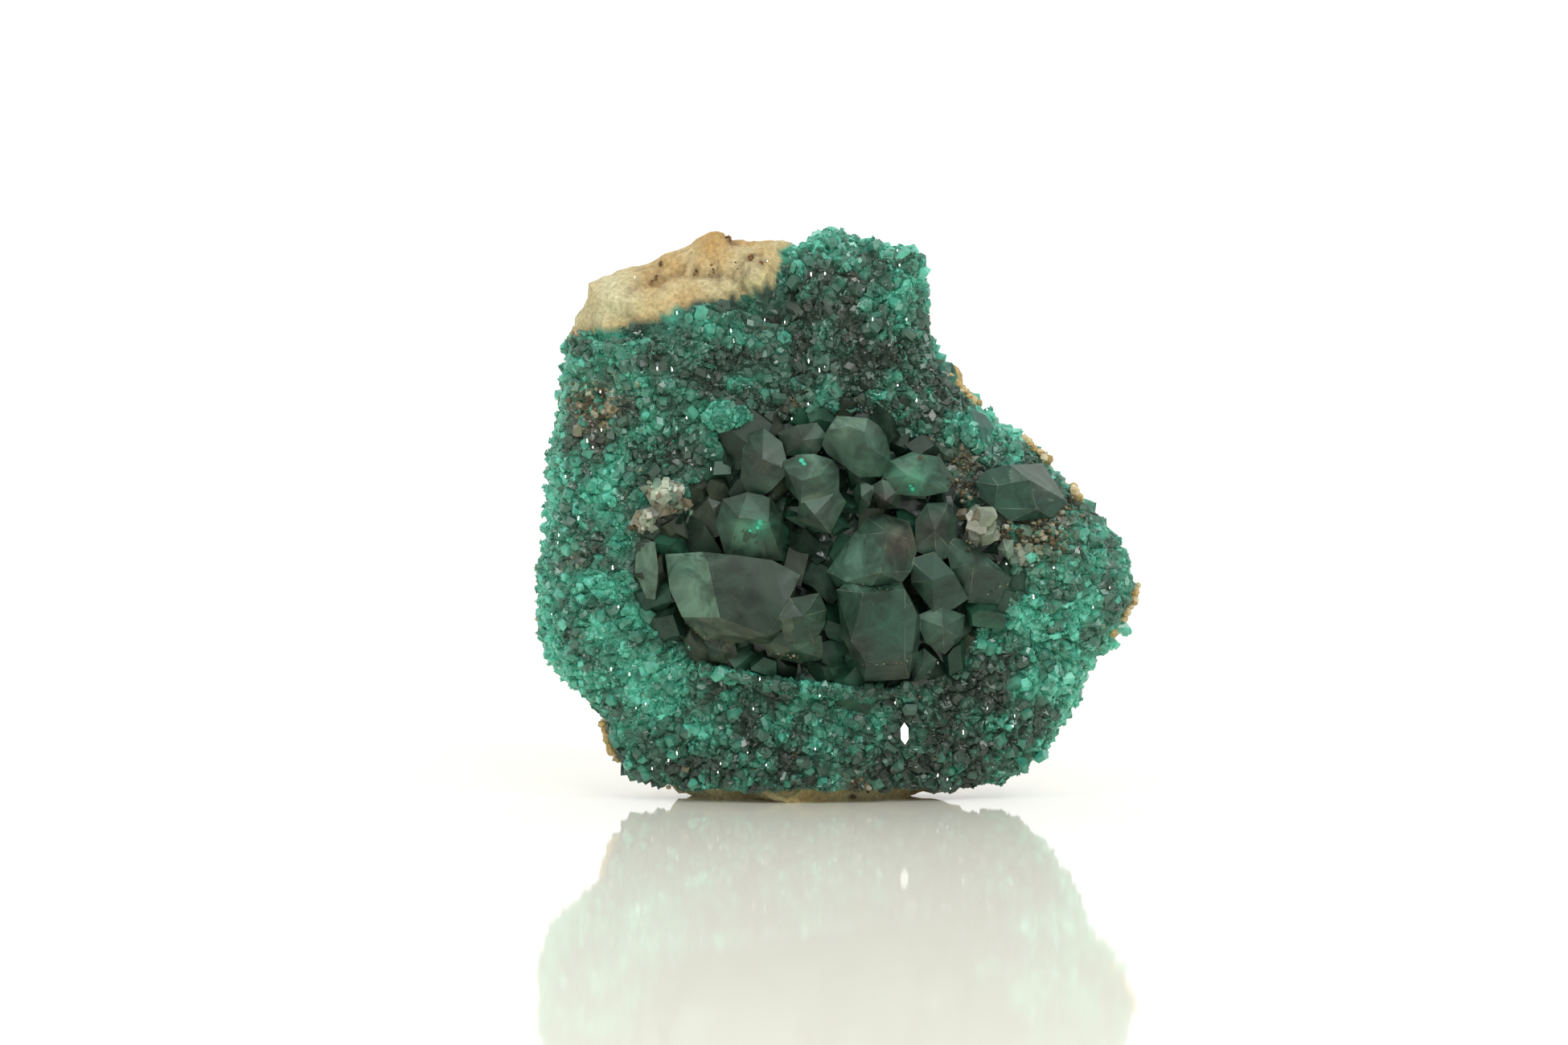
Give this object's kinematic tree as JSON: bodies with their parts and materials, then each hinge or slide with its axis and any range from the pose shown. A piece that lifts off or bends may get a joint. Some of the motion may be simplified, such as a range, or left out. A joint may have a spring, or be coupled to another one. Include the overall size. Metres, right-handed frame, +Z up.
{
  "type": "dioptase specimen",
  "caption": "Upright mineral specimen: a druse of small green dioptase crystals and a group of large dark ones on tan rock.",
  "frame": {"origin": "centre of the flat foot that the rock stands on", "axes": "+Z up, the crystal-covered front faces -Y, +X to the right seen from the front"},
  "size_m": [0.0503, 0.0237, 0.0474],
  "materials": {
    "host_rock": "rough tan limonite-stained rock with cream patches",
    "green_druse": "sparkling crust of small green crystals",
    "dark_dioptase": "glossy, dark green, faintly see-through crystal",
    "teal_dioptase": "glossy bright teal crystal",
    "pale_calcite": "pale translucent crystal"
  },
  "bodies": {
    "root": {"matrix_rock": "host_rock", "druse_crust": "green_druse", "upper_crystals": "dark_dioptase", "left_crystals": "dark_dioptase", "right_crystals": "dark_dioptase", "far_right_crystal": "dark_dioptase", "left_blade": "dark_dioptase", "teal_clump": "teal_dioptase", "teal_crystal": "teal_dioptase", "ledge_lip": "teal_dioptase", "pale_crystal": "pale_calcite", "pale_shard": "pale_calcite", "pale_patch": "pale_calcite"}
  },
  "joints": []
}
